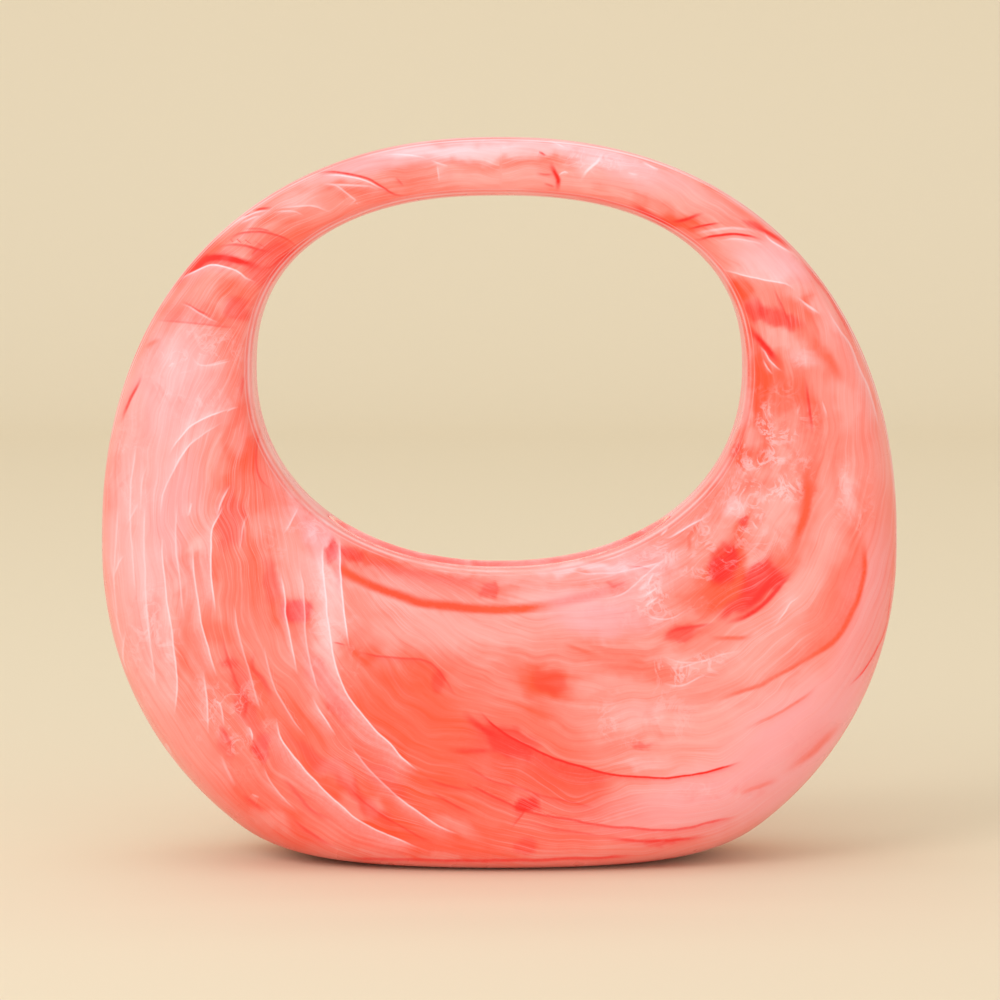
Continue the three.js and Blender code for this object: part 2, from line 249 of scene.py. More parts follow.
# Soft clouds of each kind: strength, middle across and down, half width, half height, tilt in degrees
CLOUDS = {
    "white": (
        # the first white cloud, along the handle's top, is a painted highlight
        (0.5, 470, 149, 115, 10, 0), (0.35, 600, 158, 60, 12, 15), (0.1, 180, 352, 35, 32, 0),
        (0.2, 166, 385, 18, 45, 10), (0.12, 150, 600, 25, 90, 0), (0.2, 330, 610, 11, 60, 0),
        (0.12, 640, 582, 28, 25, 0), (0.3, 737, 508, 10, 11, 0), (0.25, 852, 495, 8, 20, 0),
        (0.15, 775, 266, 28, 12, 15), (0.3, 802, 358, 17, 11, 20), (0.15, 635, 715, 26, 12, 0),
        (0.25, 648, 761, 26, 6, 0), (0.5, 585, 568, 50, 7, -3), (0.4, 318, 530, 8, 22, 0),
    ),
    "pale": (
        (0.6, 680, 192, 50, 16, 25), (0.5, 300, 200, 35, 10, -15), (0.7, 128, 420, 16, 50, 15),
        (0.25, 205, 395, 30, 50, 0), (0.7, 130, 560, 26, 130, 0), (0.6, 328, 600, 18, 90, 5),
        (0.35, 295, 560, 28, 45, 0), (0.55, 460, 632, 120, 20, 0), (0.3, 640, 565, 50, 32, 0),
        (0.4, 788, 440, 22, 40, 0), (0.65, 778, 510, 22, 45, 0), (0.6, 850, 490, 13, 34, 0),
        (0.6, 765, 260, 52, 22, 15), (0.7, 783, 335, 24, 12, 25), (0.6, 800, 590, 20, 38, 25),
        (0.55, 670, 725, 90, 38, -5), (0.5, 760, 770, 110, 60, -30), (0.35, 880, 420, 24, 90, -12),
        (0.5, 750, 675, 40, 14, -15), (0.8, 560, 604, 70, 16, 0), (0.6, 530, 580, 50, 6, 0),
        (0.5, 400, 600, 45, 12, 20), (0.7, 500, 571, 90, 6, 0), (0.6, 405, 558, 40, 6, 22),
        (0.8, 312, 514, 34, 12, 42), (0.4, 262, 522, 14, 20, 0), (0.7, 826, 305, 30, 10, 52),
        (0.5, 830, 340, 8, 18, -20), (0.5, 755, 303, 12, 6, 20), (0.5, 828, 535, 16, 50, 0),
        (0.6, 714, 532, 12, 16, 0), (0.7, 756, 568, 7, 18, 0), (0.6, 800, 720, 80, 60, -40),
        (0.5, 140, 395, 13, 36, 10), (0.5, 158, 455, 16, 34, 10), (0.5, 118, 565, 12, 40, 0),
        (0.5, 148, 690, 22, 36, -25), (0.4, 245, 432, 12, 24, 20), (0.6, 720, 780, 70, 16, -5),
        (0.6, 820, 745, 40, 40, -45), (0.4, 700, 800, 110, 30, 0), (0.4, 810, 720, 60, 45, 0),
        (0.45, 758, 650, 45, 22, -15), (0.4, 200, 740, 60, 60, 30), (0.6, 500, 180, 90, 16, 0),
        (0.5, 610, 182, 50, 14, 15), (0.5, 845, 400, 12, 40, -10), (0.7, 201, 546, 10, 9, 0),
        (0.5, 752, 780, 30, 10, -10), (0.8, 293, 500, 9, 9, 0), (0.6, 345, 782, 7, 12, -40),
        (0.5, 375, 806, 10, 10, -40), (0.5, 272, 822, 20, 8, 30), (0.7, 672, 655, 20, 8, 0),
        (0.6, 700, 670, 22, 8, -10), (0.5, 610, 684, 44, 9, 0), (0.8, 760, 578, 8, 23, 14),
        (0.6, 756, 440, 8, 12, 0), (0.4, 838, 548, 14, 24, 0), (0.4, 455, 828, 26, 7, 20),
        (0.55, 330, 772, 10, 16, -40), (0.35, 352, 808, 10, 14, -40), (0.5, 172, 604, 10, 20, 0),
        (0.5, 230, 308, 12, 9, 0), (0.5, 236, 260, 10, 6, 0), (0.5, 318, 180, 14, 8, 0),
        (0.6, 800, 290, 10, 8, 0), (0.5, 390, 596, 50, 5, 18),
    ),
    "pink": (
        (0.6, 400, 158, 110, 14, -8), (0.5, 620, 168, 60, 16, 18), (0.6, 180, 385, 42, 70, 0),
        (0.35, 140, 520, 45, 120, 0), (0.35, 640, 565, 45, 30, 0), (0.6, 775, 262, 45, 18, 15),
        (0.9, 810, 740, 90, 60, -35), (0.8, 720, 800, 120, 32, -8), (0.6, 870, 620, 30, 100, 15),
        (0.5, 600, 612, 60, 24, 0), (0.5, 312, 514, 38, 16, 42), (0.5, 172, 515, 22, 45, 0),
        (0.5, 610, 622, 50, 14, 0), (0.5, 800, 750, 60, 30, -40), (0.4, 750, 785, 60, 14, -10),
        (0.4, 190, 480, 20, 30, 0), (0.6, 318, 536, 14, 20, 0),
    ),
    "orange": (
        (0.25, 500, 172, 60, 16, 0), (0.35, 220, 362, 16, 44, 0), (0.4, 184, 620, 9, 70, 5),
        (0.7, 146, 600, 15, 60, 0), (0.5, 204, 580, 7, 50, 0), (0.3, 290, 740, 100, 80, 30),
        (0.25, 560, 795, 120, 40, 0), (0.4, 610, 808, 70, 8, 2), (0.4, 625, 648, 60, 7, 5),
        (0.6, 418, 180, 30, 13, 0), (0.5, 285, 245, 38, 20, -40), (0.6, 235, 295, 20, 20, 0),
        (0.6, 205, 255, 30, 10, -40), (0.5, 290, 208, 40, 12, -20), (0.5, 350, 186, 35, 9, 5),
        (0.4, 200, 316, 50, 10, 8), (0.3, 215, 412, 26, 16, 0), (0.5, 350, 192, 40, 10, 5),
        (0.8, 243, 440, 20, 36, 0), (0.4, 238, 560, 22, 95, 0), (0.5, 265, 570, 20, 60, -5),
        (0.8, 292, 618, 24, 20, 0), (0.8, 276, 612, 9, 15, 0), (0.7, 362, 642, 18, 18, 0),
        (0.5, 310, 650, 14, 40, -15), (0.8, 270, 752, 20, 26, -35), (0.5, 295, 722, 14, 30, -25),
        (0.65, 315, 780, 65, 14, 42), (0.8, 392, 770, 45, 16, 44), (0.6, 380, 835, 45, 12, 18),
        (0.5, 250, 795, 50, 20, 35), (0.45, 205, 690, 16, 50, -15), (0.8, 228, 732, 18, 36, -25),
        (0.5, 255, 690, 20, 40, -25), (0.6, 335, 716, 20, 24, 40), (0.8, 378, 776, 30, 13, 44),
        (0.5, 545, 740, 60, 24, 20), (0.3, 700, 704, 60, 8, 0), (0.4, 785, 660, 18, 14, -40),
        (0.5, 520, 838, 90, 12, 0), (0.45, 230, 495, 14, 30, 20), (0.5, 290, 830, 30, 20, 30),
        (0.75, 410, 745, 85, 100, 0), (0.6, 418, 675, 32, 15, 0), (0.5, 430, 825, 90, 30, 0),
        (0.4, 420, 568, 82, 16, 12), (0.9, 546, 683, 32, 19, 0), (0.55, 560, 785, 65, 20, 15),
        (1.0, 738, 580, 44, 34, -20), (0.5, 684, 632, 24, 9, -15), (0.9, 640, 742, 18, 7, 0),
        (0.5, 625, 745, 35, 12, 0), (0.5, 700, 602, 20, 12, 0), (1.0, 618, 586, 10, 8, 0),
        (0.5, 650, 566, 14, 8, 0), (0.3, 640, 672, 40, 10, 0), (0.9, 756, 385, 10, 42, 0),
        (0.7, 796, 405, 16, 32, 0), (0.2, 858, 410, 26, 60, 0), (0.4, 845, 575, 20, 60, 0),
        (0.75, 788, 331, 24, 12, 15), (0.6, 768, 372, 12, 24, 0), (0.9, 764, 447, 13, 26, 0),
        (0.5, 780, 398, 10, 22, 20), (0.6, 785, 486, 26, 9, 0), (0.5, 745, 458, 8, 10, 0),
        (0.5, 810, 432, 12, 40, 0), (0.6, 798, 500, 10, 50, 0), (0.6, 790, 560, 12, 20, 0),
        (0.4, 845, 480, 12, 30, 0), (0.85, 742, 287, 11, 16, 0), (0.6, 802, 305, 26, 24, 30),
        (0.5, 825, 345, 14, 18, 0), (0.8, 682, 224, 24, 9, 12), (0.6, 642, 200, 12, 8, 0),
        (0.5, 745, 440, 8, 15, 0), (0.5, 705, 490, 14, 12, 0), (0.5, 767, 485, 10, 9, 0),
        (0.6, 738, 300, 9, 34, -15), (0.4, 185, 568, 22, 14, 0), (0.5, 214, 568, 8, 16, 0),
        (0.8, 300, 618, 14, 12, 0), (0.7, 342, 565, 10, 22, 0), (0.6, 362, 640, 14, 20, 0),
        (0.5, 215, 635, 22, 12, 0), (0.5, 188, 705, 12, 16, 0), (0.5, 236, 714, 8, 20, -15),
        (0.5, 224, 748, 14, 12, 0), (0.4, 266, 742, 14, 12, 0), (0.4, 308, 680, 8, 18, 0),
        (0.85, 380, 766, 30, 16, 50), (0.4, 352, 712, 8, 14, -40), (0.5, 318, 806, 34, 8, 44),
        (0.45, 500, 772, 14, 34, 0), (0.3, 450, 786, 50, 7, 5), (0.5, 540, 712, 20, 10, 0),
        (0.3, 508, 672, 16, 12, 0), (0.35, 615, 660, 40, 6, 3), (0.5, 622, 738, 22, 14, 0),
        (0.45, 630, 798, 50, 8, 0), (0.5, 790, 668, 40, 9, -40), (0.3, 700, 708, 90, 7, -3),
        (0.9, 620, 588, 10, 14, 0), (0.6, 648, 566, 12, 12, 0), (0.8, 742, 540, 10, 18, 0),
        (0.7, 788, 552, 9, 16, 0), (0.7, 745, 460, 8, 14, 0), (0.6, 785, 490, 22, 8, 0),
        (0.5, 806, 470, 7, 30, 0), (0.7, 785, 331, 18, 9, 0), (0.3, 790, 372, 12, 14, 0),
        (0.4, 838, 376, 14, 12, 0), (0.3, 866, 420, 10, 34, 0), (0.35, 812, 424, 14, 14, 0),
        (0.25, 884, 590, 10, 24, 0), (0.6, 450, 852, 80, 6, 0), (0.35, 250, 485, 26, 36, 0),
        (0.35, 200, 412, 14, 14, 0), (0.5, 111, 492, 8, 12, 0), (0.4, 545, 170, 12, 14, 0),
        (0.8, 376, 562, 38, 9, 18), (0.6, 352, 552, 16, 10, 25), (0.5, 735, 450, 8, 16, 15),
        (0.6, 143, 592, 11, 48, 0), (0.6, 775, 489, 34, 9, 0), (0.5, 630, 808, 46, 9, 3),
        (0.4, 780, 668, 26, 14, -40), (0.5, 372, 745, 24, 26, 30), (0.4, 215, 700, 26, 20, 0),
        (0.6, 502, 594, 16, 7, 0), (0.7, 744, 340, 5, 20, 0),
    ),
    "red": (
        (0.5, 268, 264, 26, 20, -30), (0.5, 240, 310, 15, 14, 0), (0.5, 208, 262, 32, 9, -8),
        (0.45, 230, 520, 14, 32, 0), (0.4, 270, 585, 10, 22, 0), (1.0, 293, 614, 17, 12, 0),
        (1.0, 332, 549, 7, 14, 0), (0.3, 342, 565, 6, 24, 0), (0.5, 232, 666, 10, 7, 0),
        (0.8, 264, 748, 9, 13, 0), (0.3, 226, 744, 10, 16, 0), (0.3, 385, 778, 34, 8, 44),
        (0.9, 526, 806, 13, 9, -40), (0.4, 330, 690, 10, 40, -30), (0.4, 246, 700, 9, 46, -18),
        (0.4, 340, 780, 70, 9, 42), (0.45, 440, 680, 10, 10, 0), (0.6, 352, 553, 14, 9, 25),
        (0.5, 489, 590, 12, 5, 0), (0.3, 550, 682, 18, 12, 0), (0.6, 512, 742, 28, 13, 15),
        (0.5, 662, 843, 19, 4, 0), (0.45, 521, 844, 12, 7, 0), (1.0, 724, 562, 18, 26, 15),
        (0.85, 764, 582, 26, 15, -45), (0.7, 742, 606, 26, 10, -30), (0.6, 680, 633, 18, 6, -15),
        (0.5, 640, 742, 12, 5, 0), (0.4, 616, 584, 7, 4, 0), (0.6, 755, 308, 14, 13, 35),
        (0.65, 778, 314, 28, 10, 22), (0.6, 755, 225, 11, 6, 10), (0.5, 738, 452, 8, 6, 0),
        (0.7, 746, 523, 5, 6, 0), (0.8, 197, 264, 18, 9, -40),
    ),
    "wisp": (
        (1.0, 770, 465, 42, 75, 0), (0.7, 660, 580, 62, 45, -20), (0.9, 690, 668, 45, 16, -8),
        (0.8, 195, 370, 45, 45, 0), (0.8, 300, 525, 34, 34, 0), (0.7, 150, 640, 26, 60, 0),
        (0.6, 720, 540, 50, 40, 0), (0.7, 230, 720, 40, 50, -20), (0.6, 855, 500, 18, 40, 0),
        (0.5, 330, 620, 26, 90, 0), (0.5, 640, 720, 60, 30, 0), (0.6, 600, 165, 50, 16, 10),
        (0.6, 790, 350, 26, 20, 20), (0.4, 130, 470, 24, 60, 0), (0.5, 730, 790, 60, 12, -5),
    ),
}

NARROWEST = 0.75  # half width of the thinnest stroke
STROKE_SPACING = 5.0  # between the places of a smooth route
TAPER_SHARE = 0.4  # the most of a stroke's length that one end fades over
TAPER_START = 22
TAPER_PER_HALF_WIDTH = 5
SHARP_SIDE = 1.5  # fade of a stroke on the side without its tail
NO_STROKE = 40.0  # distance in half widths where no stroke is near
FAINTEST = 1e-4
LEAST_FADE = 0.03  # a stroke is gone where it has faded to this,
FULL_FADE = 0.16  # and has its full strength from here
CHANNELS = {"white": 4, "red": 3, "orange": 2}  # sets of strokes that are mixed in one after another
# Waviness of the strokes, and ragged edges of the clouds: amount, size and seed
STROKE_WARPS = ((1.4, 30, 21), (0.35, 9, 27))
CLOUD_WARPS = ((9, 34, 7), (5, 11, 11))
# Where a cloud's edge begins and where it is full, in shares of its half size
CLOUD_EDGES = {"red": (1.25, 0.65), "orange": (1.4, 0.45)}
SOFT_EDGE = (1.45, 0.35)
CLOUD_REACH = 1.7
NOISE_CELLS = 61


def smooth_route(places):
    """A smooth curve through the places, as points about a spacing apart."""
    places = np.reshape(places, (-1, 2)).astype(float)
    ends = np.vstack([2 * places[0] - places[1], places, 2 * places[-1] - places[-2]])
    route = []
    for before, start, stop, after in zip(ends, ends[1:], ends[2:], ends[3:]):
        count = max(1, round(np.linalg.norm(stop - start) / STROKE_SPACING))
        t = (np.arange(count) / count)[:, None]
        square = (2 * before - 5 * start + 4 * stop - after) * t ** 2
        cube = (3 * start - before - 3 * stop + after) * t ** 3
        route.append(0.5 * (2 * start + (stop - before) * t + square + cube))
    return np.vstack(route + [places[-1:]])


def measure(spots, route):
    """Signed distance of each spot from a route, the length along it there, and its whole length."""
    starts, steps = route[:-1], np.diff(route, axis=0)
    lengths = np.linalg.norm(steps, axis=1)
    run_before = np.concatenate([[0], np.cumsum(lengths)[:-1]])
    best = np.full(len(spots), np.inf)
    sign = np.ones(len(spots))
    along = np.zeros(len(spots))
    for start, step, length, so_far in zip(starts, steps, lengths, run_before):
        ahead = step / length
        offset = spots - start
        run = np.clip(offset @ ahead, 0, length)
        gap = np.hypot(offset[:, 0] - run * ahead[0], offset[:, 1] - run * ahead[1])
        nearer = gap < best
        best[nearer] = gap[nearer]
        sign[nearer] = np.sign(offset[nearer, 0] * ahead[1] - offset[nearer, 1] * ahead[0])
        along[nearer] = so_far + run[nearer]
    return best * sign, along, lengths.sum()


def smoothstep(low, high, value):
    t = np.clip((value - low) / (high - low), 0, 1)
    return t * t * (3 - 2 * t)


def lattice(spots, size, seed):
    """Smooth seeded noise between -1 and 1, whose blobs are about a size wide."""
    table = np.random.default_rng(seed).uniform(-1, 1, (NOISE_CELLS, NOISE_CELLS))
    place = spots / size
    corner = np.floor(place).astype(int)
    t = place - corner
    t = t * t * (3 - 2 * t)
    x0, y0 = corner[:, 0] % NOISE_CELLS, corner[:, 1] % NOISE_CELLS
    x1, y1 = (x0 + 1) % NOISE_CELLS, (y0 + 1) % NOISE_CELLS
    top = table[y0, x0] * (1 - t[:, 0]) + table[y0, x1] * t[:, 0]
    bottom = table[y1, x0] * (1 - t[:, 0]) + table[y1, x1] * t[:, 0]
    return top * (1 - t[:, 1]) + bottom * t[:, 1]


def noise(spots, size, seed, octaves=3):
    total = sum(lattice(spots, size / 2 ** k, seed + k) / 2 ** k for k in range(octaves))
    return total / (2 - 2 ** (1 - octaves))


def warped(spots, warps):
    """The spots moved a little by noise, once for each row of a table of warps."""
    for amount, size, seed in warps:
        shift = np.stack([noise(spots, size, seed), noise(spots, size, seed + 50)], axis=1)
        spots = spots + amount * shift
    return spots


def near(spots, points, margin):
    low, high = np.min(points, axis=0) - margin, np.max(points, axis=0) + margin
    return np.flatnonzero(np.all((spots > low) & (spots < high), axis=1))


def share_out(kind):
    """The strokes of a kind shared out so that neighbours lie in different channels."""
    channels = [[] for _ in range(CHANNELS[kind])]
    for strength, half, tail, places in STROKES[kind]:
        route = smooth_route(places)
        gaps = []
        for others in channels:
            away = [np.min(np.linalg.norm(route[:, None] - other[3][None], axis=2)) for other in others]
            gaps.append(min(away, default=np.inf))
        channels[int(np.argmax(gaps))].append((strength, max(half, NARROWEST), tail, route))
    return channels


def channel_field(spots, strokes):
    """Per spot, of the nearest stroke: signed distance in half widths, strength, and tail in half widths."""
    distance = np.full(len(spots), NO_STROKE)
    strength = np.zeros(len(spots))
    tail_here = np.ones(len(spots))
    best = np.full(len(spots), FAINTEST)
    for strong, half, tail, route in strokes:
        some = near(spots, route, 3 * tail + half + 4 * SHARP_SIDE)
        gap, along, length = measure(spots[some], route)
        taper = min(TAPER_SHARE * length, TAPER_START + TAPER_PER_HALF_WIDTH * half)
        value = strong * smoothstep(0, taper, along) * smoothstep(0, taper, length - along)
        away = np.maximum(np.abs(gap) - half, 0)
        fade = np.exp(-away / np.where(gap < 0, tail, SHARP_SIDE))
        rank = value * fade
        win = rank > best[some]
        index = some[win]
        best[index] = rank[win]
        distance[index] = gap[win] / half
        strength[index] = (value * smoothstep(LEAST_FADE, FULL_FADE, fade))[win]
        tail_here[index] = tail / half
    return np.stack([distance, strength, tail_here], axis=1)


def cloud_field(spots, kind):
    """Strength at each spot of a kind's clouds together."""
    begins, full = CLOUD_EDGES.get(kind, SOFT_EDGE)
    left = np.ones(len(spots))
    for strength, across, down, wide, tall, tilt in CLOUDS[kind]:
        some = near(spots, np.array([[across, down]]), CLOUD_REACH * max(wide, tall))
        turn = math.radians(tilt)
        offset = spots[some] - (across, down)
        u = (offset[:, 0] * math.cos(turn) + offset[:, 1] * math.sin(turn)) / wide
        v = (-offset[:, 0] * math.sin(turn) + offset[:, 1] * math.cos(turn)) / tall
        left[some] *= 1 - strength * smoothstep(begins, full, np.hypot(u, v))
    return 1 - left


def fields(spots):
    """All fields of the marbling at the spots, by name."""
    wavy, ragged = warped(spots, STROKE_WARPS), warped(spots, CLOUD_WARPS)
    result = {kind: cloud_field(ragged, kind) for kind in CLOUDS}
    for kind in CHANNELS:
        for number, strokes in enumerate(share_out(kind)):
            result[f"{kind}_{number}"] = channel_field(wavy, strokes)
    return result


# Sizes of the bag in millimetres, the same as those of its solids
MM = 0.001
OVERALL_WIDTH = 240
OVERALL_HEIGHT = 218.3
WIDEST_LEVEL = 95.5
LOWER_DROP = 109.8
UPPER_FULLNESS = 2.24
LOWER_FULLNESS = 2.1
BASE_EASE = 11.5
HOLE_WIDTH = 147
HOLE_LEVEL = 148.3
HOLE_RISE = 52.5
HOLE_DROP = 59
HOLE_UPPER_FULLNESS = 2.37
HOLE_LOWER_FULLNESS = 2.16
HANDLE_DEPTH = 23
LIMB_DEPTH = 48
BODY_DEPTH = 75
RIM_FULLNESS = 3.4
FLANK_FULLNESS = 2.5
WALL = 4
HOLLOW_REACH = 112
HOLLOW_END_FULLNESS = 5
PARTING_GAP = 0.3
MOUTH_LENGTH = 104
MOUTH_WIDTH = 18
COLLAR_GAP = 0.3
COLLAR_WALL = 1.8
COLLAR_HEIGHT = 16
BEAD_HEIGHT = 3
BEAD_PROUD = 1.2

# Edges that only the finished surface has
PARTING_EDGE = 0.4  # radius along the parting line
MOUTH_LIP = 1.0  # radius of the flared lip round the mouth
COLLAR_EDGE = 0.7
BEAD_EDGE = 0.9
SHARP_ANGLE = math.radians(35)  # edges that turn by more than this stay sharp

# Fineness: how many steps each form is made in
RING_STEPS = 620
BOTTOM_FINENESS = 0.35  # how much closer the steps lie under the hole
SECTION_STEPS = 124
EDGE_STEPS = 4
HOLLOW_STEPS = 110
HOLLOW_ROUND_STEPS = 60
MOUTH_END_STEPS = 24
MOUTH_SIDE_STEPS = 60
LIP_STEPS = 7
CORNER_STEPS = 6
HALVINGS = 48

# Looks along the outlines and the parting line
EDGE_GLOW_DEPTH = 11  # depth of the painted pink edge glow on both sides of the parting line
OUTER_LINES_CLOSER = 1.5  # the lines lie closer together on the outer outline than on the hole's
RIM_LEAN = 0.07  # share of the depth by which the lines lean inwards under the hole
RIM_LINE_WAVES = {"size": 30, "seed": 61, "octaves": 2}
RIM_LINE_WANDER = 0.4  # how far a line strays
# Fine lines along the outlines: tone, distance from the outline, half width, and strength. The white ones are
# painted highlights of the rounded edges.
RIM_LINES = (
    ("white", 0.3, 0.25, 0.35),
    ("red", 0.8, 0.3, 0.35),
    ("white", 1.3, 0.25, 0.55),
    ("red", 1.9, 0.3, 0.25),
    ("white", 2.3, 0.15, 0.3),
)

# Flow of the fine streaks
FLOW_LENGTH = 3.2  # how many streaks follow each other in a radian round the hole
FLOW_WIDTH = 2.4  # width of a streak
FLOW_WANDER = 6  # how far a streak strays
FLOW_WAVES = {"size": 22, "seed": 41}
FLOW_WINDING = 110  # how far the flow winds outwards in its whole run,
WINDING_START = 0.8  # which starts and stops at these angles past the top, in radians
WINDING_STOP = 5.2
TURNING_SHARE = 0.15  # share of a section's width over which the flow turns from one flank to the other

# How squarely a surface has to face the camera for the charts to show on it: first and in full
CHART_FIRST = 0.04
CHART_FULL = 0.24

# Camera: the photograph's angle, with its focal length in pixels of a frame of 1000
FRAME_PIXELS = 1000
CAMERA_DISTANCE = 1300
CAMERA_RISE = math.radians(5.78)
AIM_HEIGHT = 109
FOCAL_PIXELS = 4298
MIDDLE_ACROSS = 499.4
MIDDLE_DOWN = 499.45
SENSOR = 36
FAR_CLIP = 20


def squared_circle(angle, power):
    """A point of a squared circle of unit size, at an angle."""
    return [np.sign(value) * np.abs(value) ** (2 / power) for value in (np.cos(angle), np.sin(angle))]


def hole_radius(angle, inset=0):
    above = np.sin(angle) >= 0
    power = np.where(above, HOLE_UPPER_FULLNESS, HOLE_LOWER_FULLNESS)
    across = np.abs(np.cos(angle)) / (HOLE_WIDTH / 2 + inset)
    along = np.abs(np.sin(angle)) / (np.where(above, HOLE_RISE, HOLE_DROP) + inset)
    return (across ** power + along ** power) ** (-1 / power)


def outline_radius(angle, inset=0):
    """Distance from the hole's centre to the outer outline, found by halving."""
    inner = np.zeros_like(angle)
    outer = np.full_like(angle, OVERALL_WIDTH + OVERALL_HEIGHT)
    for _ in range(HALVINGS):
        middle = (inner + outer) / 2
        x = middle * np.cos(angle)
        z = HOLE_LEVEL + middle * np.sin(angle)
        above = z >= WIDEST_LEVEL
        power = np.where(above, UPPER_FULLNESS, LOWER_FULLNESS)
        reach = np.where(above, OVERALL_HEIGHT - WIDEST_LEVEL, LOWER_DROP)
        across = np.abs(x) / (OVERALL_WIDTH / 2 - inset)
        along = np.abs(z - WIDEST_LEVEL) / (reach - inset)
        inside = across ** power + along ** power < 1
        inner = np.where(inside, middle, inner)
        outer = np.where(inside, outer, middle)
    return inner


def half_depth(angle):
    up = np.sin(angle)
    slope = (HANDLE_DEPTH - BODY_DEPTH) / 2
    bend = (HANDLE_DEPTH + BODY_DEPTH) / 2 - LIMB_DEPTH
    return (LIMB_DEPTH + slope * up + bend * up * up) / 2


def rest_on(z, level):
    """Lays the lowest part of a form flat on a level, with a smooth turn."""
    above = np.clip(z - level, -BASE_EASE, BASE_EASE)
    return np.where(z - level >= BASE_EASE, z, level + (above + BASE_EASE) ** 2 / (4 * BASE_EASE))


def floor_height(x):
    """Height of the hand hole's floor over a place across the bag."""
    share = (np.abs(x) / (HOLE_WIDTH / 2)) ** HOLE_LOWER_FULLNESS
    return HOLE_LEVEL - HOLE_DROP * (1 - share) ** (1 / HOLE_LOWER_FULLNESS)


def section_columns():
    """Shares across and forward of a section's skin, evenly spaced from the hole to the outer outline."""
    first_share = 0.06
    forward_weight = 0.42
    start = math.asin(first_share ** (RIM_FULLNESS / 2))
    stop = math.pi - math.asin(first_share ** (FLANK_FULLNESS / 2))
    turn = np.linspace(start, stop, 20001)
    power = np.where(np.cos(turn) > 0, RIM_FULLNESS, FLANK_FULLNESS)
    across, forward = squared_circle(turn, power)
    run = np.hypot(np.diff(across), forward_weight * np.diff(forward))
    so_far = np.concatenate([[0], np.cumsum(run)])
    even = np.linspace(0, so_far[-1], SECTION_STEPS)
    return np.interp(even, so_far, across), np.interp(even, so_far, forward)


def half_ring():
    """Points of the front half of the ring: a row for each angle, from the hole to the outer outline."""
    around = 2 * math.pi * np.arange(RING_STEPS) / RING_STEPS
    angle = (around - BOTTOM_FINENESS * np.cos(around))[:, None]
    near, far, depth = hole_radius(angle), outline_radius(angle), half_depth(angle)
    bend = np.linspace(0, math.pi / 2, EDGE_STEPS)
    edge_depth = PARTING_GAP / 2 + PARTING_EDGE * (1 - np.cos(bend))[None, :]
    edge_drop = PARTING_EDGE * (1 - np.sin(bend))[None, :]
    across, forward = section_columns()
    middle, half = (near + far) / 2, (far - near) / 2
    rim = (1 - (edge_depth / depth) ** RIM_FULLNESS) ** (1 / RIM_FULLNESS)
    flank = (1 - (edge_depth / depth) ** FLANK_FULLNESS) ** (1 / FLANK_FULLNESS)
    radius = np.hstack([
        middle - rim * half + edge_drop,
        middle - across[None, :] * half,
        (middle + flank * half - edge_drop)[:, ::-1],
    ])
    y = np.hstack([edge_depth + 0 * depth, forward[None, :] * depth, (edge_depth + 0 * depth)[:, ::-1]])
    x = radius * np.cos(angle)
    z = rest_on(HOLE_LEVEL + radius * np.sin(angle), 0)
    return np.stack([x, -y, z], axis=-1)


def closed_grid_faces(rows, columns, wrap_rows=True, wrap_columns=True):
    """Quads of a grid of points that closes on itself."""
    row = np.arange(rows if wrap_rows else rows - 1)[:, None]
    column = np.arange(columns if wrap_columns else columns - 1)[None, :]
    next_row, next_column = (row + 1) % rows, (column + 1) % columns
    corners = [row * columns + column, next_row * columns + column,
               next_row * columns + next_column, row * columns + next_column]
    return np.stack([c.ravel() for c in corners], axis=1)


def new_object(name, points, faces):
    """A mesh object from points in millimetres and lists of corners."""
    mesh = bpy.data.meshes.new(name)
    mesh.from_pydata((np.asarray(points) * MM).tolist(), [], [list(map(int, face)) for face in faces])
    mesh.validate()
    piece = bpy.data.objects.new(name, mesh)
    bpy.context.scene.collection.objects.link(piece)
    return piece


def hollow_form():
    """The hollow: the ring inset by the wall, closed to a round end in each limb."""
    share_along = -np.cos(math.pi * np.arange(1, HOLLOW_STEPS) / HOLLOW_STEPS)[:, None]
    shrink = (1 - np.abs(share_along) ** HOLLOW_END_FULLNESS) ** (1 / HOLLOW_END_FULLNESS)
    angle = -math.pi / 2 + math.radians(HOLLOW_REACH) * share_along
    turn = 2 * math.pi * np.arange(HOLLOW_ROUND_STEPS) / HOLLOW_ROUND_STEPS
    power = np.where(np.cos(turn) > 0, RIM_FULLNESS, FLANK_FULLNESS)
    towards_hole, towards_back = (share[None, :] for share in squared_circle(turn, power))
    near, far = hole_radius(angle, WALL), outline_radius(angle, WALL)
    radius = (near + far) / 2 - shrink * towards_hole * (far - near) / 2
    y = shrink * towards_back * (half_depth(angle) - WALL)
    z = rest_on(HOLE_LEVEL + radius * np.sin(angle), WALL)
    points = np.stack([radius * np.cos(angle), y, z], axis=-1).reshape(-1, 3)
    rows = HOLLOW_STEPS - 1
    faces = closed_grid_faces(rows, HOLLOW_ROUND_STEPS, wrap_rows=False).tolist()
    ends = []
    for side in (-1, 1):
        tip = np.array([-math.pi / 2 + side * math.radians(HOLLOW_REACH)])
        reach = (hole_radius(tip, WALL) + outline_radius(tip, WALL))[0] / 2
        ends.append([reach * math.cos(tip[0]), 0, rest_on(HOLE_LEVEL + reach * math.sin(tip[0]), WALL)])
    first, last = len(points), len(points) + 1
    for k in range(HOLLOW_ROUND_STEPS):
        after = (k + 1) % HOLLOW_ROUND_STEPS
        top = (rows - 1) * HOLLOW_ROUND_STEPS
        faces.append([first, k, after])
        faces.append([last, top + after, top + k])
    return new_object("hollow_form", np.vstack([points, ends]), faces)


